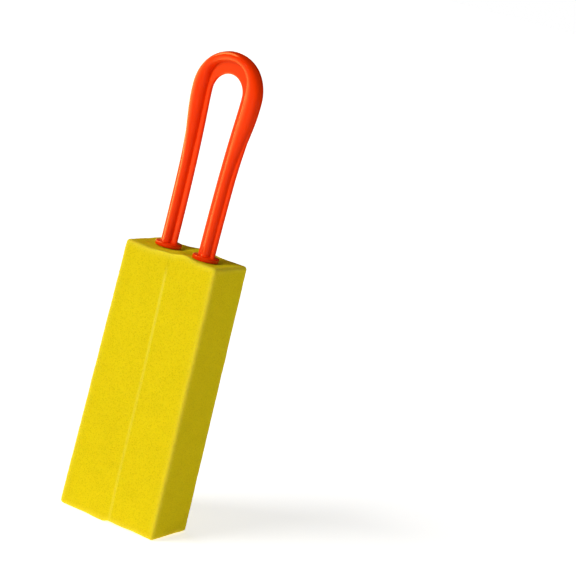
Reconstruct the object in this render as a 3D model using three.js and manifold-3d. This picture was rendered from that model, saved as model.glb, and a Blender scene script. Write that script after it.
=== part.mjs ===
// Foam sponge brush: two foam bars bonded side by side, on the two barbed prongs of a moulded loop handle.
// Millimetres, +Z up. The origin is the middle of the foam's resting face, X runs across the wide face and
// -Y is the front.
import * as THREE from "three";
import { mergeVertices } from "three/addons/utils/BufferGeometryUtils.js";
import Module from "manifold-3d";

const wasm = await Module();
wasm.setup();

// ---- driving dimensions -------------------------------------------------------------------------------

const FOAM_HEIGHT = 140;
const FOAM_TOP_SIZE = { width: 52.8, depth: 32.7 }; // both bars together, squeezed a little by the collars
const FOAM_FOOT_SIZE = { width: 57, depth: 33.6 }; // the free end stays as cut
const SEAM_GAP = 1; // between the bars, holding the adhesive and its clearance
const CUT_STEP = 1.1; // the right bar was cut short by this much at the seam
const SEAM_DRIFT = 2.2; // how far the seam runs off to the right from the top to the foot

const ADHESIVE = { thickness: 0.4, depth: 26.4, bottom: 3, top: 137 };

const LEG_SPACING = 24; // between the prongs' axes
const HANDLE_TURN = THREE.MathUtils.degToRad(-7); // the holes are a little off the foam's middle line
const HANDLE_SHIFT = { x: -0.2, y: -0.6 };

const COLLAR = { radius: 6.75, bottom: 139.6, thickness: 2.2, rim: 0.4 };
const PRONG = {
  radius: 3.2,
  length: 95,
  tipRadius: 1.3,
  barbs: 4,
  barbRadius: 4.4,
  barbLength: 7,
  barbPitch: 21,
};
const PRONG_CLEARANCE = 0.5;
const COLLAR_CLEARANCE = 0.35;

// The loop's inner edge: a pair of nearly straight legs that swell into a half circle.
const LEG_INNER_HALF = 7.1;
const ARCH_RADIUS = 9.3;
const ARCH_CENTRE_Z = 221.2;
const LEG_SWELL = { startsZ: 200, endsZ: 210 }; // Bezier handles of the swelling leg
const LOOP_LEAN = 0.83; // sideways lean of the loop's top

// The moulded section, measured outwards from the inner edge: a thin web in the middle plane and a round
// rib. On the legs the web shows as a fin on each side of the rib. Up the grip the rib widens to the outer
// edge, and over the crown its inner side draws back from the hole, which leaves a crescent of bare web.
const SECTION_WIDTH = { leg: 10, grip: 11.1 };
const GRIP_BLEND = { fromZ: 180, toZ: 218 };
const CROWN_BLEND = { fromRise: 0.1, toRise: 0.95 }; // upward share of the direction out of the hole
const FIN_HALF = { leg: 1, grip: 0.9 };
const FIN_EDGE = { leg: 1.2, grip: 0.9 }; // how far the rounding of a fin's edge reaches
const RIB_INNER = { leg: 3.05, grip: 2.7, crown: 6.2 };
const RIB_OUTER = { leg: 7.85, grip: 11 };
const RIB_RISE = { leg: 2.5, grip: 3.2 }; // above the web

const LEG_STATIONS = 18;
const ARCH_STATIONS = 22;
const SECTION_STEPS = 16;
const ROUND_SEGMENTS = 16;

const FOAM_YELLOW = new THREE.Color(0.9, 0.77, 0.06);
const HANDLE_ORANGE = new THREE.Color(0.95, 0.22, 0.04);
const ADHESIVE_CLEAR = new THREE.Color(0.85, 0.8, 0.6);

// ---- helpers ------------------------------------------------------------------------------------------

function toSolid(geometry) {
  const bare = geometry.clone();
  bare.deleteAttribute("normal");
  bare.deleteAttribute("uv");
  const merged = mergeVertices(bare);
  const vertProperties = new Float32Array(merged.attributes.position.array);
  const triVerts = new Uint32Array(merged.index.array);
  return new wasm.Manifold(new wasm.Mesh({ numProp: 3, vertProperties, triVerts }));
}

function toGeometry(solid) {
  const mesh = solid.getMesh();
  const geometry = new THREE.BufferGeometry();
  geometry.setAttribute("position", new THREE.Float32BufferAttribute(mesh.vertProperties, 3));
  geometry.setIndex(new THREE.Uint32BufferAttribute(mesh.triVerts, 1));
  geometry.computeVertexNormals();
  return geometry;
}

// A closed solid of revolution about a vertical axis, from [radius, z] pairs that start and end on the axis.
function turned(profile, x, y) {
  const points = profile.map(([radius, z]) => new THREE.Vector2(radius, z));
  const geometry = new THREE.LatheGeometry(points, ROUND_SEGMENTS);
  geometry.rotateX(Math.PI / 2);
  geometry.translate(x, y, 0);
  return toSolid(geometry);
}

// A closed solid through a row of equal rings, with flat ends.
function loft(rings, outline) {
  const count = outline.length;
  const faces = [];
  for (let ring = 0; ring + 1 < rings.length; ring += 1) {
    for (let i = 0; i < count; i += 1) {
      const a = ring * count + i;
      const b = ring * count + ((i + 1) % count);
      faces.push(a, b, a + count, b, b + count, a + count);
    }
  }
  const last = (rings.length - 1) * count;
  for (const [a, b, c] of THREE.ShapeUtils.triangulateShape(outline, [])) {
    faces.push(a, b, c, last + a, last + c, last + b);
  }
  const geometry = new THREE.BufferGeometry();
  const points = rings.flat().flatMap((point) => point.toArray());
  geometry.setAttribute("position", new THREE.Float32BufferAttribute(points, 3));
  geometry.setIndex(faces);
  return toSolid(geometry);
}

function makeMesh(name, solid, color, roughness) {
  const material = new THREE.MeshStandardMaterial({ color, roughness, metalness: 0 });
  const mesh = new THREE.Mesh(toGeometry(solid), material);
  mesh.name = name;
  return mesh;
}

// ---- handle -------------------------------------------------------------------------------------------

function innerEdge() {
  const foot = COLLAR.bottom + COLLAR.thickness / 2;
  const leg = (side) => [
    new THREE.Vector2(side * LEG_INNER_HALF, foot),
    new THREE.Vector2(side * LEG_INNER_HALF, LEG_SWELL.startsZ),
    new THREE.Vector2(side * ARCH_RADIUS, LEG_SWELL.endsZ),
    new THREE.Vector2(side * ARCH_RADIUS, ARCH_CENTRE_Z),
  ];
  return {
    leftLeg: new THREE.CubicBezierCurve(...leg(-1)),
    arch: new THREE.EllipseCurve(0, ARCH_CENTRE_Z, ARCH_RADIUS, ARCH_RADIUS, Math.PI, 0, true),
    rightLeg: new THREE.CubicBezierCurve(...leg(1).reverse()),
  };
}

// Points of the inner edge, with the direction that leads outwards from the loop's hole.
function stations() {
  const edge = innerEdge();
  const pieces = [
    [edge.leftLeg, LEG_STATIONS],
    [edge.arch, ARCH_STATIONS],
    [edge.rightLeg, LEG_STATIONS],
  ];
  const found = [];
  pieces.forEach(([curve, steps], piece) => {
    const first = piece === 0 ? 0 : 1;
    for (let step = first; step <= steps; step += 1) {
      const point = curve.getPointAt(step / steps);
      const tangent = curve.getTangentAt(step / steps);
      found.push({ point, outward: new THREE.Vector2(-tangent.y, tangent.x) });
    }
  });
  return found;
}

// How far a height is into the grip: 0 on the slim legs, 1 on the thick upper loop.
function gripShare(z) {
  return THREE.MathUtils.smoothstep(z, GRIP_BLEND.fromZ, GRIP_BLEND.toZ);
}

function blended(size, share) {
  return THREE.MathUtils.lerp(size.leg, size.grip, share);
}

// How far a station is over the crown: 0 on the legs and the arch's feet, 1 at the top.
function crownShare(station) {
  if (station.point.y <= ARCH_CENTRE_Z) {
    return 0;
  }
  return THREE.MathUtils.smoothstep(station.outward.y, CROWN_BLEND.fromRise, CROWN_BLEND.toRise);
}

// Half of the section's depth at a distance u from the inner edge.
function halfDepth(u, width, share, crown) {
  const edge = blended(FIN_EDGE, share);
  const fromEnd = Math.min(u, width - u, edge) / edge;
  const fin = blended(FIN_HALF, share) * Math.sqrt(1 - (1 - fromEnd) ** 2);
  const inner = THREE.MathUtils.lerp(blended(RIB_INNER, share), RIB_INNER.crown, crown);
  const outer = blended(RIB_OUTER, share);
  const across = (2 * u - inner - outer) / (outer - inner);
  return fin + blended(RIB_RISE, share) * Math.sqrt(Math.max(0, 1 - across ** 2));
}

// The section's outline as [u, depth] points: along the back and home along the front.
function sectionOutline(share, crown) {
  const width = blended(SECTION_WIDTH, share);
  const back = [];
  for (let step = 0; step <= SECTION_STEPS; step += 1) {
    const u = (width * (1 - Math.cos((Math.PI * step) / SECTION_STEPS))) / 2;
    back.push(new THREE.Vector2(u, halfDepth(u, width, share, crown)));
  }
  const front = back.slice(1, -1).reverse();
  return back.concat(front.map((point) => new THREE.Vector2(point.x, -point.y)));
}

function loopSolid() {
  const foot = COLLAR.bottom;
  const top = ARCH_CENTRE_Z + ARCH_RADIUS;
  const rings = stations().map((station) => {
    const outline = sectionOutline(gripShare(station.point.y), crownShare(station));
    return outline.map((corner) => {
      const place = station.point.clone().addScaledVector(station.outward, corner.x);
      const lean = (LOOP_LEAN * (place.y - foot)) / (top - foot);
      return new THREE.Vector3(place.x + lean, corner.y, place.y);
    });
  });
  return loft(rings, sectionOutline(0, 0));
}

function collarSolid(x) {
  const top = COLLAR.bottom + COLLAR.thickness;
  return turned([
    [0, COLLAR.bottom],
    [COLLAR.radius - COLLAR.rim, COLLAR.bottom],
    [COLLAR.radius, COLLAR.bottom + COLLAR.rim],
    [COLLAR.radius, top - COLLAR.rim],
    [COLLAR.radius - COLLAR.rim, top],
    [0, top],
  ], x, 0);
}

function prongSolid(x) {
  const top = COLLAR.bottom + COLLAR.rim;
  const tip = COLLAR.bottom - PRONG.length;
  const profile = [[0, tip], [PRONG.tipRadius, tip]];
  for (let barb = 0; barb < PRONG.barbs; barb += 1) {
    const foot = tip + PRONG.barbLength + barb * PRONG.barbPitch;
    profile.push([PRONG.radius, foot]);
    profile.push([PRONG.barbRadius, foot + PRONG.barbLength]);
    profile.push([PRONG.radius, foot + PRONG.barbLength + 1]);
  }
  profile.push([PRONG.radius, top], [0, top]);
  return turned(profile, x, 0);
}

function makeHandle() {
  let solid = loopSolid();
  for (const side of [-1, 1]) {
    const x = (side * LEG_SPACING) / 2;
    solid = solid.add(collarSolid(x)).add(prongSolid(x));
  }
  const mesh = makeMesh("loop_handle", solid, HANDLE_ORANGE, 0.3);
  mesh.position.set(HANDLE_SHIFT.x, HANDLE_SHIFT.y, 0);
  mesh.rotation.z = HANDLE_TURN;
  return mesh;
}

// ---- foam ---------------------------------------------------------------------------------------------

// The hole that a prong goes down, with a shallow seat for the collar.
function prongHole(side) {
  const axis = new THREE.Vector3((side * LEG_SPACING) / 2, 0, 0);
  axis.applyAxisAngle(new THREE.Vector3(0, 0, 1), HANDLE_TURN);
  const bore = PRONG.barbRadius + PRONG_CLEARANCE;
  const seat = COLLAR.radius + COLLAR_CLEARANCE;
  const seatFloor = COLLAR.bottom - COLLAR_CLEARANCE;
  const above = FOAM_HEIGHT + 2;
  const profile = [
    [0, COLLAR.bottom - PRONG.length - 2],
    [bore, COLLAR.bottom - PRONG.length - 2],
    [bore, seatFloor],
    [seat, seatFloor],
    [seat, above],
    [0, above],
  ];
  return turned(profile, axis.x + HANDLE_SHIFT.x, axis.y + HANDLE_SHIFT.y);
}

// One bar, tapering a little to the top. Only the right bar's foot slopes, up towards the seam.
function makeBar(name, side, footStep) {
  const block = new THREE.BoxGeometry(1, 1, 1);
  const place = block.attributes.position;
  for (let i = 0; i < place.count; i += 1) {
    const outer = place.getX(i) > 0;
    const atTop = place.getZ(i) > 0;
    const size = atTop ? FOAM_TOP_SIZE : FOAM_FOOT_SIZE;
    const drift = atTop ? 0 : SEAM_DRIFT * side;
    const across = outer ? size.width / 2 : SEAM_GAP / 2 + drift;
    const footHeight = outer ? 0 : footStep;
    place.setXYZ(i, across, place.getY(i) * size.depth, atTop ? FOAM_HEIGHT : footHeight);
  }
  if (side < 0) {
    block.rotateZ(Math.PI);
  }
  return makeMesh(name, toSolid(block).subtract(prongHole(side)), FOAM_YELLOW, 0.95);
}

function makeAdhesive() {
  const height = ADHESIVE.top - ADHESIVE.bottom;
  const film = new THREE.BoxGeometry(ADHESIVE.thickness, ADHESIVE.depth, height);
  film.translate(0, 0, ADHESIVE.bottom + height / 2);
  const slant = new THREE.Matrix4().makeShear(0, 0, 0, 0, -SEAM_DRIFT / FOAM_HEIGHT, 0);
  film.applyMatrix4(slant);
  film.translate(SEAM_DRIFT, 0, 0);
  return makeMesh("seam_adhesive", toSolid(film), ADHESIVE_CLEAR, 0.5);
}

const brush = new THREE.Group();
brush.name = "foam_sponge_brush";
brush.add(makeBar("foam_bar_left", -1, 0));
brush.add(makeBar("foam_bar_right", 1, CUT_STEP));
brush.add(makeAdhesive());
brush.add(makeHandle());

export default brush;
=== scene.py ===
import math

import bpy
import numpy as np
from mathutils import Matrix, Vector, noise


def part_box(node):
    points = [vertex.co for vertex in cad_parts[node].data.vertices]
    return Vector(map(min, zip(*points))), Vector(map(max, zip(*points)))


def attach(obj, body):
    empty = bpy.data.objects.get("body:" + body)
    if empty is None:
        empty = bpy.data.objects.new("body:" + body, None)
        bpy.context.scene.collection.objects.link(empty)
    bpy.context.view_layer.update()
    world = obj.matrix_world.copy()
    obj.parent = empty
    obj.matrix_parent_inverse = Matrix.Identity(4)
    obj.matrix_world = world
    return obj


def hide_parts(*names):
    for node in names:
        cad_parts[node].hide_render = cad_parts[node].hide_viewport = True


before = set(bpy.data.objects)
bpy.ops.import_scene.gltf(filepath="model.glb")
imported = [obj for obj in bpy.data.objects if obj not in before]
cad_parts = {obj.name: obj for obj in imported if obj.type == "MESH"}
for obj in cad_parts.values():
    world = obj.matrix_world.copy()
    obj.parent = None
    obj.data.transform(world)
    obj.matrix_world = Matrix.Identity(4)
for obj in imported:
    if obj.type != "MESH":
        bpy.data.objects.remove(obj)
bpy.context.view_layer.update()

MM = 0.001

# ---- places that the handle and the foam share ----------------------------------------------------------

HANDLE_TURN = Matrix.Rotation(math.radians(-7), 3, "Z")  # the handle sits a little askew on the foam
HANDLE_SHIFT = Vector((-0.2 * MM, -0.6 * MM, 0))
LEG_SPACING = 24 * MM
COLLAR_RADIUS = 6.75 * MM
COLLAR_BOTTOM = 139.6 * MM
PRONG_LENGTH = 95 * MM
FOAM_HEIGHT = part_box("foam_bar_left")[1].z


def leg_axis(side):
    """Where a prong's axis crosses the foam's top, side being -1 for the left leg and 1 for the right."""
    return HANDLE_TURN @ Vector((side * LEG_SPACING / 2, 0, 0)) + HANDLE_SHIFT


# ---- small helpers --------------------------------------------------------------------------------------

def lerp(a, b, share):
    return a + (b - a) * share


def smoothstep(value, low, high):
    """0 up to low, 1 from high on, and a soft S between them."""
    share = np.clip((value - low) / (high - low), 0, 1)
    return share * share * (3 - 2 * share)


def bell(distance, reach):
    """1 at no distance, and soft to nothing at about twice the reach."""
    return np.exp(-((distance / reach) ** 2))


def new_object(name, points, faces, smooth=True):
    mesh = bpy.data.meshes.new(name)
    mesh.from_pydata([tuple(p) for p in points], [], faces)
    mesh.validate()
    mesh.update()
    if smooth:
        mesh.shade_smooth()
    obj = bpy.data.objects.new(name, mesh)
    bpy.context.collection.objects.link(obj)
    return obj


def apply_modifiers(obj):
    depsgraph = bpy.context.evaluated_depsgraph_get()
    mesh = bpy.data.meshes.new_from_object(obj.evaluated_get(depsgraph))
    obj.modifiers.clear()
    old = obj.data
    obj.data = mesh
    bpy.data.meshes.remove(old)


def boolean(obj, others, operation):
    """Joins other closed meshes to the object, or cuts them from it, and removes them."""
    for other in others:
        modifier = obj.modifiers.new("boolean", "BOOLEAN")
        modifier.operation = operation
        modifier.solver = "EXACT"
        modifier.object = other
    apply_modifiers(obj)
    for other in others:
        bpy.data.objects.remove(other)


def revolve(name, profile, centre, segments):
    """A closed solid of revolution from (radius, z) pairs. Its first and last pair are on the axis."""
    points = [Vector((centre.x, centre.y, profile[0][1]))]
    for radius, z in profile[1:-1]:
        for k in range(segments):
            angle = 2 * math.pi * k / segments
            x = centre.x + radius * math.cos(angle)
            y = centre.y + radius * math.sin(angle)
            points.append(Vector((x, y, z)))
    points.append(Vector((centre.x, centre.y, profile[-1][1])))
    last = len(points) - 1
    rows = len(profile) - 2
    faces = []
    for k in range(segments):
        nxt = (k + 1) % segments
        faces.append((0, 1 + nxt, 1 + k))
        for row in range(rows - 1):
            a = 1 + row * segments
            faces.append((a + k, a + nxt, a + segments + nxt, a + segments + k))
        a = 1 + (rows - 1) * segments
        faces.append((a + k, a + nxt, last))
    return new_object(name, points, faces)


# ---- handle ---------------------------------------------------------------------------------------------

COLLAR_THICKNESS = 2.2 * MM
COLLAR_ROUND = 0.5 * MM
COLLAR_TOP = COLLAR_BOTTOM + COLLAR_THICKNESS

PRONG_RADIUS = 3.2 * MM
PRONG_TIP = 1.3 * MM
PRONG_OVERLAP = 1 * MM  # how far a prong reaches up into its collar
BARBS = 4
BARB_RADIUS = 4.4 * MM
BARB_LENGTH = 7 * MM
BARB_PITCH = 21 * MM

# The loop's inner edge: nearly straight legs that swell into a half circle.
LEG_INNER_HALF = 7.1 * MM
ARCH_RADIUS = 9.3 * MM
ARCH_CENTRE_Z = 221.2 * MM
SWELL_STARTS_Z = 200 * MM  # the heights of a leg curve's two handles
SWELL_ENDS_Z = 210 * MM
LOOP_LEAN = 0.83 * MM  # to the right, at the top of the hole

# The section, measured outwards from the inner edge: fins in the middle plane and a round rib on them. Up
# the grip the rib widens to the rim, and over the crown its inner side draws back from the hole.
LEG_WIDTH = 10 * MM
GRIP_WIDTH = 11.1 * MM
GRIP_FROM_Z = 180 * MM
GRIP_TO_Z = 218 * MM
CROWN_FROM = 0.1  # upward share of the direction out of the hole
CROWN_TO = 0.95

FIN_HALF_LEG = 1.0 * MM
FIN_HALF_GRIP = 0.9 * MM
FIN_EDGE_LEG = 1.2 * MM  # how far the rounding of a fin's edge reaches
FIN_EDGE_GRIP = 0.9 * MM
RIB_INNER_LEG = 3.05 * MM
RIB_INNER_GRIP = 2.7 * MM
RIB_INNER_CROWN = 6.2 * MM
RIB_OUTER_LEG = 7.85 * MM
RIB_OUTER_GRIP = 11.0 * MM
RIB_RISE_LEG = 2.5 * MM
RIB_RISE_GRIP = 3.2 * MM
RIB_POWER = 2  # of the rib's superellipse: 2 is an ellipse, and more is steeper at the rib's side
RIB_POWER_CROWN = 2.8  # on the inner side, over the crown
FOOT_FILLET = 0.3 * MM

LEG_STATIONS = 70
LEG_CROWDING = 1.6  # above 1, the stations lie closer together near the collar
ARCH_STATIONS = 96
SECTION_STEPS = 80
COLLAR_SEGMENTS = 96
COLLAR_ROUND_STEPS = 6
PRONG_SEGMENTS = 48
HANDLE_CREASE = math.radians(40)  # edges sharper than this aren't shaded smooth


def leg_point(t):
    """The right leg's inner edge, from the collar at 0 to the arch at 1: (x, z, outward x, outward z)."""
    foot = COLLAR_BOTTOM + COLLAR_THICKNESS / 2
    xs = (LEG_INNER_HALF, LEG_INNER_HALF, ARCH_RADIUS, ARCH_RADIUS)
    zs = (foot, SWELL_STARTS_Z, SWELL_ENDS_Z, ARCH_CENTRE_Z)
    weights = ((1 - t) ** 3, 3 * t * (1 - t) ** 2, 3 * t * t * (1 - t), t ** 3)
    slopes = (-3 * (1 - t) ** 2, 3 * (1 - t) * (1 - 3 * t), 3 * t * (2 - 3 * t), 3 * t * t)
    x, z = (sum(w * p for w, p in zip(weights, row)) for row in (xs, zs))
    dx, dz = (sum(s * p for s, p in zip(slopes, row)) for row in (xs, zs))
    size = math.hypot(dx, dz)
    return x, z, dz / size, -dx / size


def loop_stations():
    """The loop's inner edge from the left collar over the arch to the right one, as leg_point's tuples."""
    right = [leg_point((k / LEG_STATIONS) ** LEG_CROWDING) for k in range(LEG_STATIONS + 1)]
    left = [(-x, z, -out_x, out_z) for x, z, out_x, out_z in right]
    arch = []
    for k in range(1, ARCH_STATIONS):
        angle = math.pi * (1 - k / ARCH_STATIONS)
        c, s = math.cos(angle), math.sin(angle)
        arch.append((ARCH_RADIUS * c, ARCH_CENTRE_Z + ARCH_RADIUS * s, c, s))
    return left + arch + right[::-1]


def half_depth(u, width, share, crown):
    """Half the section's depth at u from its inner edge: the fins, and the rib's rise on top of them."""
    edge = lerp(FIN_EDGE_LEG, FIN_EDGE_GRIP, share)
    from_end = np.minimum(np.minimum(u, width - u), edge) / edge
    fin = lerp(FIN_HALF_LEG, FIN_HALF_GRIP, share) * np.sqrt(np.clip(1 - (1 - from_end) ** 2, 0, 1))
    inner = lerp(lerp(RIB_INNER_LEG, RIB_INNER_GRIP, share), RIB_INNER_CROWN, crown)
    outer = lerp(RIB_OUTER_LEG, RIB_OUTER_GRIP, share)
    across = (2 * u - inner - outer) / (outer - inner)
    power = np.where(across < 0, lerp(RIB_POWER, RIB_POWER_CROWN, crown), RIB_POWER)
    rib = np.clip(1 - np.abs(across) ** power, 0, 1) ** (1 / power)
    return fin + lerp(RIB_RISE_LEG, RIB_RISE_GRIP, share) * rib


def section_outline(width, share, crown, spread):
    """Points (u, depth) round the section; spread is the fillet's outward growth."""
    steps = np.arange(SECTION_STEPS + 1)
    u = width * (1 - np.cos(math.pi * steps / SECTION_STEPS)) / 2
    depth = half_depth(u, width, share, crown)
    grown = width / 2 + (u - width / 2) * (1 + 2 * spread / width)
    back = list(zip(grown, depth + spread * np.sin(math.pi * steps / SECTION_STEPS)))
    return back + [(a, -b) for a, b in back[-2:0:-1]]


def make_loop():
    """The loop and its legs: the section carried along the stations, with a flat face in each collar."""
    top = ARCH_CENTRE_Z + ARCH_RADIUS
    points = []
    stations = loop_stations()
    for x, z, out_x, out_z in stations:
        share = float(smoothstep(z, GRIP_FROM_Z, GRIP_TO_Z))
        crown = float(smoothstep(out_z, CROWN_FROM, CROWN_TO)) * (z > ARCH_CENTRE_Z)
        width = lerp(LEG_WIDTH, GRIP_WIDTH, share)
        above = np.clip((z - COLLAR_TOP) / FOOT_FILLET, 0, 1)
        spread = FOOT_FILLET * (1 - math.sqrt(1 - (1 - above) ** 2))
        for u, depth in section_outline(width, share, crown, spread):
            place_z = z + out_z * u
            lean = LOOP_LEAN * (place_z - COLLAR_BOTTOM) / (top - COLLAR_BOTTOM)
            points.append(HANDLE_TURN @ Vector((x + out_x * u + lean, depth, place_z)) + HANDLE_SHIFT)
    count = 2 * SECTION_STEPS
    faces = []
    for ring in range(len(stations) - 1):
        for k in range(count):
            a = ring * count + k
            b = ring * count + (k + 1) % count
            faces.append((a, b, b + count, a + count))
    faces.append(tuple(range(count))[::-1])
    last = (len(stations) - 1) * count
    faces.append(tuple(range(last, last + count)))
    return new_object("loop", points, faces)


def collar_profile():
    """A flat disc with slightly rounded edges."""
    profile = [(0, COLLAR_BOTTOM)]
    for start, z in ((-90, COLLAR_BOTTOM + COLLAR_ROUND), (0, COLLAR_TOP - COLLAR_ROUND)):
        for k in range(COLLAR_ROUND_STEPS + 1):
            angle = math.radians(start + 90 * k / COLLAR_ROUND_STEPS)
            radius = COLLAR_RADIUS - COLLAR_ROUND + COLLAR_ROUND * math.cos(angle)
            profile.append((radius, z + COLLAR_ROUND * math.sin(angle)))
    profile.append((0, COLLAR_TOP))
    return profile


def prong_profile():
    """A blunt tip, then the barbs: each a long cone, a worn rim and a short slope back to the prong."""
    tip = COLLAR_BOTTOM - PRONG_LENGTH
    top = COLLAR_BOTTOM + PRONG_OVERLAP
    profile = [(0, tip), (PRONG_TIP * 0.7, tip + 0.1 * MM), (PRONG_TIP, tip + 0.6 * MM)]
    for barb in range(BARBS):
        foot = tip + BARB_LENGTH + barb * BARB_PITCH
        rim = foot + BARB_LENGTH
        profile += [
            (PRONG_RADIUS, foot),
            (BARB_RADIUS - 0.15 * MM, rim - 0.3 * MM),
            (BARB_RADIUS, rim),
            (BARB_RADIUS - 0.2 * MM, rim + 0.25 * MM),
            (PRONG_RADIUS + 0.2 * MM, rim + 0.75 * MM),
            (PRONG_RADIUS, rim + 1.1 * MM),
        ]
    return profile + [(PRONG_RADIUS, top), (0, top)]


def make_handle():
    """The whole moulding in one mesh: the loop, and a collar and a prong below each leg."""
    loop = make_loop()
    others = []
    for side in (-1, 1):
        centre = leg_axis(side)
        others.append(revolve("collar", collar_profile(), centre, COLLAR_SEGMENTS))
        others.append(revolve("prong", prong_profile(), centre, PRONG_SEGMENTS))
    boolean(loop, others, "UNION")
    loop.name = "handle_moulding"
    loop.data.set_sharp_from_angle(angle=HANDLE_CREASE)
    return loop


# ---- foam -----------------------------------------------------------------------------------------------

# Each bar starts as a straight block, which is then rounded, tapered, pressed and roughened.
BLOCK_WIDTH = 27 * MM
BLOCK_DEPTH = 30 * MM
TOP_WIDTH, TOP_DEPTH = 52.8 * MM, 32.7 * MM  # of both bars together
FOOT_WIDTH, FOOT_DEPTH = 57 * MM, 33.6 * MM
GRID = 1.0 * MM
ROUNDING_MARKS = np.array([0, 0.1, 0.24, 0.42, 0.65, 0.9])  # grid lines over a rounding, as shares of it
MIDDLE_FROM = 1.15  # the even part of the grid starts this many roundings in
EDGE_ROUNDING = 1.8 * MM
SEAM_ROUNDING = 0.06 * MM
ROUNDING_GROWS = (0.15 * BLOCK_WIDTH, 0.6 * BLOCK_WIDTH)  # from the seam's rounding to the outer edge's

# The seam, and the room in it for the adhesive film, which ends short of the faces.
SEAM_DRIFT = 2.2 * MM
SEAM_WAVE = 0.2 * MM
SEAM_WAVE_RADIAN = 17 * MM
SEAM_GAP = 0.02 * MM  # from the seam's middle to a bar, at the faces
FILM_ROOM = 0.26 * MM  # the same, beside the film
FILM_FROM_FACE = (0.9 * MM, 1.7 * MM)  # how far in the room starts and is full
FILM_FROM_FOOT = (1 * MM, 2.6 * MM)
FILM_FROM_TOP = (0.8 * MM, 2.2 * MM)

# The right bar was cut short at the seam, and the left bar's foot is worn at its corner on the seam.
CUT_STEP = 1.1 * MM
CUT_STEP_HEIGHT = 15 * MM
WORN_CORNER = 1.2 * MM
WORN_CORNER_REACH = 3.4 * MM
WORN_CORNER_HEIGHT = 8 * MM

# The top face: a dip round each collar, a crest along the seam, and a front edge that sags and bulges.
DIP = 0.7 * MM
DIP_REACH = 4 * MM
CREST = 0.9 * MM
CREST_REACH = 5 * MM
FRONT_SAG, FRONT_SAG_X, FRONT_SAG_REACH = 0.9 * MM, -12.5 * MM, 8 * MM
FRONT_BULGE, FRONT_BULGE_X, FRONT_BULGE_REACH = 1.5 * MM, 8.5 * MM, 5 * MM
FRONT_BAND = (4 * MM, 14 * MM)  # how far to the front the edge's shape starts and is full
SQUEEZE_DEPTH = 22 * MM  # how far down the foam follows its top face

# The unevenness of knife-cut foam.
COARSE, COARSE_SIZE = 0.14 * MM, 9 * MM
FINE, FINE_SIZE = 0.09 * MM, 1.9 * MM
NOISE_START = Vector((3.7, 1.9, 5.3))
NOISE_SEED = 1
BONDED_BAND = 1.5 * MM  # from the seam; inside it the bar moves less sideways, so that the seam stays closed
BONDED_LEAST = 0.05

HOLE_RADIUS = 4.65 * MM
HOLE_SPARE = 2 * MM  # below the prong's tip
HOLE_CHAMFER = 2 * MM
HOLE_SEGMENTS = 40
FOAM_CREASE = math.radians(50)  # edges sharper than this aren't shaded smooth

# Paleness: a thin line of glue along the seam, stronger high up and gone at the top, and a painted sheen
# along the rounded edges and corners, standing in for the light they catch.
GLUE_LINE = 0.34 * MM
GLUE_LOW, GLUE_HIGH = 0.45, 0.65
GLUE_RISE = (70 * MM, 110 * MM)
GLUE_FADE = (5 * MM, 14 * MM)  # from the top
EDGE_SHEEN_BAND = 1.9 * MM
EDGE_SHEEN_PALENESS = 0.4


def marks(length, first, last):
    """Distances along an edge: close together over the rounding at each end, even between them."""
    start = ROUNDING_MARKS * first
    end = length - (ROUNDING_MARKS * last)[::-1]
    steps = round((length - MIDDLE_FROM * (first + last)) / GRID)
    middle = np.linspace(MIDDLE_FROM * first, length - MIDDLE_FROM * last, steps + 1)
    return np.concatenate([start, middle, end])


def block_grid():
    """The surface of a straight block as points (distance from the seam, depth, height) and quads."""
    axes = (
        marks(BLOCK_WIDTH, SEAM_ROUNDING, EDGE_ROUNDING),
        marks(BLOCK_DEPTH, EDGE_ROUNDING, EDGE_ROUNDING),
        marks(FOAM_HEIGHT, EDGE_ROUNDING, EDGE_ROUNDING),
    )
    sizes = [len(axis) - 1 for axis in axes]
    index = {}
    points = []

    def vertex(i, j, k):
        if (i, j, k) not in index:
            index[i, j, k] = len(points)
            points.append((axes[0][i], axes[1][j] - BLOCK_DEPTH / 2, axes[2][k]))
        return index[i, j, k]

    faces = []
    for fixed in range(3):
        a, b = (fixed + 1) % 3, (fixed + 2) % 3
        for level in (0, sizes[fixed]):
            for i in range(sizes[a]):
                for j in range(sizes[b]):
                    corners = []
                    for di, dj in ((0, 0), (1, 0), (1, 1), (0, 1)):
                        place = [0, 0, 0]
                        place[fixed] = level
                        place[a] = i + di
                        place[b] = j + dj
                        corners.append(vertex(*place))
                    faces.append(tuple(corners) if level else tuple(corners[::-1]))
    return np.array(points), faces


def round_edges(points):
    """Turns the block's sharp edges into rounded ones, tighter along the seam."""
    radius = lerp(SEAM_ROUNDING, EDGE_ROUNDING, smoothstep(points[:, 0], *ROUNDING_GROWS))[:, None]
    low = np.array([0, -BLOCK_DEPTH / 2, 0]) + radius
    high = np.array([BLOCK_WIDTH, BLOCK_DEPTH / 2, FOAM_HEIGHT]) - radius
    inner = np.clip(points, low, high)
    away = points - inner
    size = np.linalg.norm(away, axis=1, keepdims=True)
    return inner + radius * away / np.maximum(size, 1e-9)


def seam_x(z):
    """The seam runs off to the right towards the foot, not quite straight."""
    return SEAM_DRIFT * (1 - z / FOAM_HEIGHT) - SEAM_WAVE * np.sin(z / SEAM_WAVE_RADIAN)


def top_relief(x, y):
    """Height of the top face against its corners."""
    behind = CREST * bell(x, CREST_REACH)
    sag = FRONT_SAG * bell(x - FRONT_SAG_X, FRONT_SAG_REACH)
    bulge = FRONT_BULGE * bell(x - FRONT_BULGE_X, FRONT_BULGE_REACH)
    relief = lerp(behind, bulge - sag, smoothstep(-y, *FRONT_BAND))
    for side in (-1, 1):
        centre = leg_axis(side)
        away = np.hypot(x - centre.x, y - centre.y)
        relief = lerp(relief, -DIP, bell(np.maximum(0, away - COLLAR_RADIUS), DIP_REACH))
    return relief


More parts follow.
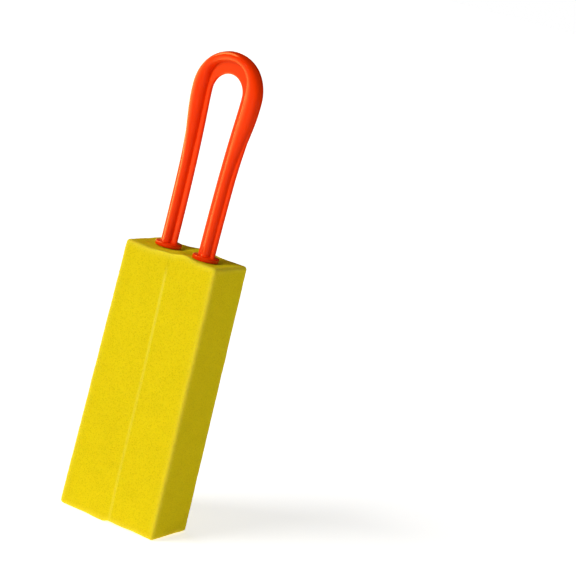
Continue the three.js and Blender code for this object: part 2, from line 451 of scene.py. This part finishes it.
def shape_bar(points, side):
    """Brings a block's points to their place in the left (-1) or right (1) bar."""
    u, y, z = points[:, 0], points[:, 1], points[:, 2]
    share = z / FOAM_HEIGHT
    width = lerp(FOOT_WIDTH, TOP_WIDTH, share)
    depth = lerp(FOOT_DEPTH, TOP_DEPTH, share)
    film = smoothstep(BLOCK_DEPTH / 2 - np.abs(y), *FILM_FROM_FACE)
    film = film * smoothstep(z, *FILM_FROM_FOOT) * smoothstep(FOAM_HEIGHT - z, *FILM_FROM_TOP)
    start = seam_x(z) + side * lerp(SEAM_GAP, FILM_ROOM, film)
    end = side * width / 2
    place_x = lerp(start, end, u / BLOCK_WIDTH)
    place_y = y * depth / BLOCK_DEPTH
    squeezed = smoothstep(z, FOAM_HEIGHT - SQUEEZE_DEPTH, FOAM_HEIGHT)
    place_z = z + top_relief(place_x, place_y) * squeezed
    if side > 0:
        lifted = CUT_STEP * (1 - u / BLOCK_WIDTH) * (1 - smoothstep(z, 0, CUT_STEP_HEIGHT))
    else:
        edge_weight = 1 - smoothstep(u, 0, WORN_CORNER_REACH)
        lifted = WORN_CORNER * edge_weight * (1 - smoothstep(z, 0, WORN_CORNER_HEIGHT))
    return np.stack([place_x, place_y, place_z + lifted], axis=1)


def roughen(points, u):
    """Moves the points by a slow wave and a fine one. The foot stays on or above the ground."""
    noise.seed_set(NOISE_SEED)  # noise_vector is seeded from the clock otherwise
    free = np.clip(u / BONDED_BAND, BONDED_LEAST, 1)
    out = points.copy()
    for i, point in enumerate(points):
        p = Vector(point)
        slow = noise.noise_vector(p / COARSE_SIZE + NOISE_START) * COARSE
        fine = noise.noise_vector(p / FINE_SIZE + NOISE_START) * FINE
        move = slow + fine
        out[i] = (p.x + move.x * free[i], p.y + move.y, p.z + move.z)
    out[:, 2] = np.maximum(out[:, 2], 0)
    return out


def mark_pale(bar, grid):
    """Stores how pale each point is, for the foam's material."""
    u, y, z = grid[:, 0], grid[:, 1], grid[:, 2]
    # Painted sheen: the rounded edges and corners are painted paler, as if catching the light.
    side = bell(BLOCK_WIDTH - u, EDGE_SHEEN_BAND)
    face = bell(BLOCK_DEPTH / 2 - np.abs(y), EDGE_SHEEN_BAND)
    end = bell(np.minimum(z, FOAM_HEIGHT - z), EDGE_SHEEN_BAND)
    edge_weight = EDGE_SHEEN_PALENESS * np.maximum.reduce([side * face, face * end, side * end])
    strength = lerp(GLUE_LOW, GLUE_HIGH, smoothstep(z, *GLUE_RISE))
    glue = bell(u, GLUE_LINE) * smoothstep(FOAM_HEIGHT - z, *GLUE_FADE) * strength
    pale = bar.data.attributes.new("pale", "FLOAT", "POINT")
    pale.data.foreach_set("value", np.maximum(glue, edge_weight))


def hole_profile():
    """The hole for a prong, with a chamfered floor and past the top of the foam."""
    floor = COLLAR_BOTTOM - PRONG_LENGTH - HOLE_SPARE
    above = FOAM_HEIGHT + 5 * MM
    return [
        (0, floor),
        (HOLE_RADIUS * 0.6, floor),
        (HOLE_RADIUS, floor + HOLE_CHAMFER),
        (HOLE_RADIUS, above),
        (0, above),
    ]


def make_bar(name, side):
    grid, faces = block_grid()
    points = roughen(shape_bar(round_edges(grid), side), grid[:, 0])
    if side < 0:
        faces = [face[::-1] for face in faces]
    bar = new_object(name, points, faces)
    mark_pale(bar, grid)
    boolean(bar, [revolve("hole", hole_profile(), leg_axis(side), HOLE_SEGMENTS)], "DIFFERENCE")
    bar.data.set_sharp_from_angle(angle=FOAM_CREASE)
    return bar


# ---- materials ------------------------------------------------------------------------------------------

WHITE = (1, 1, 1, 1)

FOAM_PORE = (0.515, 0.392, 0.0, 1)
FOAM_WALL = (0.725, 0.560, 0.006, 1)  # between the pores
FOAM_PALE = (0.88, 0.72, 0.06, 1)
FOAM_BLOTCH = (0.97, 0.97, 0.97, 1)
CELLS_PER_METRE = 1150.0
PORES_PER_METRE = 2300.0
PORE_DEPTH = 0.25 * MM

HANDLE_ORANGE = (0.865, 0.031, 0.0, 1)
HANDLE_ORANGE_LIGHT = (0.90, 0.037, 0.0, 1)
HANDLE_ROUGHNESS = (0.10, 0.15)
HANDLE_IOR = 1.49

FILM_THIN = (0.5, 0.36, 0.08, 1)
FILM_THICK = (0.7, 0.55, 0.2, 1)

FLOOR_WHITE = (0.92, 0.92, 0.92, 1)
FLOOR_GLOW = 0.62  # lifts the floor to the white of the background


def add(tree, kind, **values):
    """A new node. A value sets the node's property of that name, or else its input, _ being a space."""
    node = tree.nodes.new(kind)
    for key, value in values.items():
        if hasattr(node, key):
            setattr(node, key, value)
        else:
            node.inputs[key.replace("_", " ")].default_value = value
    return node


def new_material(name, **values):
    """A material, its node tree and its shader. A value sets the shader's input, _ being a space."""
    material = bpy.data.materials.new(name)
    material.use_nodes = True
    shader = material.node_tree.nodes["Principled BSDF"]
    for key, value in values.items():
        shader.inputs[key.replace("_", " ")].default_value = value
    return material, material.node_tree, shader


def texture(tree, kind, **values):
    """A texture that is fixed to the object."""
    node = add(tree, kind, **values)
    place = add(tree, "ShaderNodeTexCoord")
    tree.links.new(place.outputs["Object"], node.inputs["Vector"])
    return node


def ramp(tree, source, *stops):
    """The colour for the source's value, between two (position, colour) stops."""
    node = add(tree, "ShaderNodeValToRGB")
    for element, (position, color) in zip(node.color_ramp.elements, stops):
        element.position = position
        element.color = color
    tree.links.new(source, node.inputs["Fac"])
    return node.outputs["Color"]


def emboss(tree, shader, height, strength, distance):
    """Roughens the shader's surface by a height between 0 and 1."""
    bump = add(tree, "ShaderNodeBump", Strength=strength, Distance=distance)
    tree.links.new(height, bump.inputs["Height"])
    tree.links.new(bump.outputs["Normal"], shader.inputs["Normal"])


def foam_material():
    """Dull, soft foam with pores in two sizes, faint blotches, the pale glue line and a painted sheen along
    the edges.
    """
    material, tree, shader = new_material(
        "foam_open_cell",
        Roughness=0.95,
        Subsurface_Weight=0.35,
        Subsurface_Radius=(1.0, 0.7, 0.1),
        Subsurface_Scale=2.2 * MM,
        Specular_IOR_Level=0.03,
    )
    cells = texture(tree, "ShaderNodeTexVoronoi", Scale=CELLS_PER_METRE)
    pores = texture(tree, "ShaderNodeTexVoronoi", Scale=PORES_PER_METRE)
    height = add(tree, "ShaderNodeMath", operation="ADD")
    tree.links.new(cells.outputs["Distance"], height.inputs[0])
    tree.links.new(pores.outputs["Distance"], height.inputs[1])
    color = ramp(tree, height.outputs[0], (0.2, FOAM_PORE), (1, FOAM_WALL))
    blotch = texture(tree, "ShaderNodeTexNoise", Scale=90.0, Detail=3.0)
    tint = ramp(tree, blotch.outputs["Fac"], (0.35, FOAM_BLOTCH), (0.65, WHITE))
    tinted = add(tree, "ShaderNodeMix", data_type="RGBA", blend_type="MULTIPLY", Factor=1)
    tree.links.new(color, tinted.inputs["A"])
    tree.links.new(tint, tinted.inputs["B"])
    pale = add(tree, "ShaderNodeAttribute", attribute_name="pale")
    marked = add(tree, "ShaderNodeMix", data_type="RGBA", B=FOAM_PALE)
    tree.links.new(pale.outputs["Fac"], marked.inputs["Factor"])
    tree.links.new(tinted.outputs["Result"], marked.inputs["A"])
    tree.links.new(marked.outputs["Result"], shader.inputs["Base Color"])
    emboss(tree, shader, height.outputs[0], strength=0.5, distance=PORE_DEPTH)
    return material


def handle_material():
    """Glossy moulded plastic with a slightly uneven colour and shine."""
    material, tree, shader = new_material("handle_orange_gloss", IOR=HANDLE_IOR)
    flow = texture(tree, "ShaderNodeTexNoise", Scale=60.0, Detail=3.0)
    color = ramp(tree, flow.outputs["Fac"], (0.3, HANDLE_ORANGE), (0.7, HANDLE_ORANGE_LIGHT))
    tree.links.new(color, shader.inputs["Base Color"])
    grain = texture(tree, "ShaderNodeTexNoise", Scale=900.0, Detail=2.0)
    rough = add(tree, "ShaderNodeMapRange", To_Min=HANDLE_ROUGHNESS[0], To_Max=HANDLE_ROUGHNESS[1])
    tree.links.new(grain.outputs["Fac"], rough.inputs["Value"])
    tree.links.new(rough.outputs["Result"], shader.inputs["Roughness"])
    emboss(tree, shader, grain.outputs["Fac"], strength=0.03, distance=0.05 * MM)
    return material


def adhesive_material():
    """A dried film of glue, smeared thick and thin."""
    material, tree, shader = new_material("seam_adhesive_film", Roughness=0.4)
    smear = texture(tree, "ShaderNodeTexNoise", Scale=300.0, Detail=4.0)
    color = ramp(tree, smear.outputs["Fac"], (0.3, FILM_THIN), (0.7, FILM_THICK))
    tree.links.new(color, shader.inputs["Base Color"])
    return material


def floor_material():
    return new_material(
        "floor_white",
        Base_Color=FLOOR_WHITE,
        Roughness=0.9,
        Emission_Color=WHITE,
        Emission_Strength=FLOOR_GLOW,
    )[0]


def paint(obj, material):
    obj.data.materials.clear()
    obj.data.materials.append(material)


# ---- camera, light and floor ----------------------------------------------------------------------------

# Directions are (azimuth, elevation) in degrees: azimuth 0 is in front of the object and 90 at its right.
VIEW_AZIMUTH = 25.87
VIEW_ELEVATION = 10.3
VIEW_ROLL = math.radians(14.39)
VIEW_DISTANCE = 988.6 * MM
AIM_RIGHT = 52.4 * MM
AIM_HEIGHT = 135.2 * MM
LENS = 125  # focal length in millimetres, on the sensor below
SENSOR_WIDTH = 36
FILL_STRENGTH = 0.17
# The soft cards that only reflections show: azimuth, elevation, the angle from a card's middle at which it
# has faded out, the angle at which it starts to fade, and its brightness.
REFLECTED_CARDS = (
    (-100, -45, 76, 15, 3.3),
    (-76, 42, 27, 11, 6.0),
    (-10, -10, 50, 15, 0.3),
)
CARD_TINT = (1, 0.82, 0.22, 1)
FLOOR_HALF = 12


def direction(azimuth, elevation):
    """The unit vector from the object towards a direction."""
    azimuth, elevation = math.radians(azimuth), math.radians(elevation)
    level = math.cos(elevation)
    return Vector((math.sin(azimuth) * level, -math.cos(azimuth) * level, math.sin(elevation)))


def make_camera():
    back = direction(VIEW_AZIMUTH, VIEW_ELEVATION)
    azimuth = math.radians(VIEW_AZIMUTH)
    right = Vector((math.cos(azimuth), math.sin(azimuth), 0))
    up = back.cross(right)
    roll_right = math.cos(VIEW_ROLL) * right + math.sin(VIEW_ROLL) * up
    roll_up = math.cos(VIEW_ROLL) * up - math.sin(VIEW_ROLL) * right
    data = bpy.data.cameras.new("camera")
    data.lens = LENS
    data.sensor_width = SENSOR_WIDTH
    data.clip_start = 0.05
    data.clip_end = 50
    camera = bpy.data.objects.new("camera", data)
    bpy.context.collection.objects.link(camera)
    aim = AIM_RIGHT * right + Vector((0, 0, AIM_HEIGHT))
    turn = Matrix((roll_right, roll_up, back)).transposed()
    camera.matrix_world = Matrix.Translation(aim + VIEW_DISTANCE * back) @ turn.to_4x4()
    bpy.context.scene.camera = camera


def make_sun(name, azimuth, elevation, spread, energy):
    """A large soft light at infinity. It lights without showing in reflections, which the cards do."""
    data = bpy.data.lights.new(name, "SUN")
    data.energy = energy
    data.angle = math.radians(spread)
    sun = bpy.data.objects.new(name, data)
    bpy.context.collection.objects.link(sun)
    sun.visible_glossy = False
    sun.rotation_mode = "QUATERNION"
    sun.rotation_quaternion = direction(azimuth, elevation).to_track_quat("Z", "Y")


def card_brightness(tree):
    """The brightness of all the cards together, in a ray's direction."""
    place = add(tree, "ShaderNodeTexCoord")
    glows = []
    for azimuth, elevation, outer, inner, brightness in REFLECTED_CARDS:
        toward = add(tree, "ShaderNodeVectorMath", operation="DOT_PRODUCT")
        toward.inputs[1].default_value = direction(azimuth, elevation)
        tree.links.new(place.outputs["Generated"], toward.inputs[0])
        glow = add(
            tree,
            "ShaderNodeMapRange",
            interpolation_type="SMOOTHSTEP",
            From_Min=math.cos(math.radians(outer)),
            From_Max=math.cos(math.radians(inner)),
            To_Max=brightness,
        )
        tree.links.new(toward.outputs["Value"], glow.inputs["Value"])
        glows.append(glow.outputs["Result"])
    together = glows[0]
    for glow in glows[1:]:
        both = add(tree, "ShaderNodeMath", operation="ADD")
        tree.links.new(together, both.inputs[0])
        tree.links.new(glow, both.inputs[1])
        together = both.outputs["Value"]
    return together


def choose(tree, condition, otherwise, chosen):
    """One shader where the condition holds, and another where it doesn't."""
    node = add(tree, "ShaderNodeMixShader")
    tree.links.new(condition, node.inputs["Fac"])
    tree.links.new(otherwise, node.inputs[1])
    tree.links.new(chosen, node.inputs[2])
    return node.outputs["Shader"]


def make_world():
    """A white background to look at, soft cards in reflections, and a dim fill that lights the object."""
    world = bpy.data.worlds.new("studio")
    world.use_nodes = True
    tree = world.node_tree
    ray = add(tree, "ShaderNodeLightPath")
    backdrop = tree.nodes["Background"]
    backdrop.inputs["Color"].default_value = WHITE
    backdrop.inputs["Strength"].default_value = 1
    fill = add(tree, "ShaderNodeBackground", Color=WHITE, Strength=FILL_STRENGTH)
    cards = add(tree, "ShaderNodeBackground", Color=CARD_TINT)
    tree.links.new(card_brightness(tree), cards.inputs["Strength"])
    is_glossy, is_camera = ray.outputs["Is Glossy Ray"], ray.outputs["Is Camera Ray"]
    unseen = choose(tree, is_glossy, fill.outputs["Background"], cards.outputs["Background"])
    surface = choose(tree, is_camera, unseen, backdrop.outputs["Background"])
    tree.links.new(surface, tree.nodes["World Output"].inputs["Surface"])
    bpy.context.scene.world = world


def make_light():
    make_sun("key", azimuth=-24, elevation=31, spread=28, energy=2.2)
    make_sun("softbox_left", azimuth=-100, elevation=20, spread=40, energy=0.4)
    make_world()
    bpy.context.scene.view_settings.view_transform = "Standard"


def make_floor():
    corners = [(x * FLOOR_HALF, y * FLOOR_HALF, 0) for x, y in ((-1, -1), (1, -1), (1, 1), (-1, 1))]
    floor = new_object("floor", corners, [(0, 1, 2, 3)], smooth=False)
    paint(floor, floor_material())
    floor.visible_glossy = False


# ---- put together ---------------------------------------------------------------------------------------

make_camera()
make_light()
make_floor()

foam = foam_material()
for side, node in ((-1, "foam_bar_left"), (1, "foam_bar_right")):
    bar = make_bar(node + "_foam", side)
    paint(bar, foam)
    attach(bar, "sponge")
    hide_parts(node)

handle = make_handle()
paint(handle, handle_material())
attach(handle, "handle")
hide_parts("loop_handle")

paint(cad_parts["seam_adhesive"], adhesive_material())
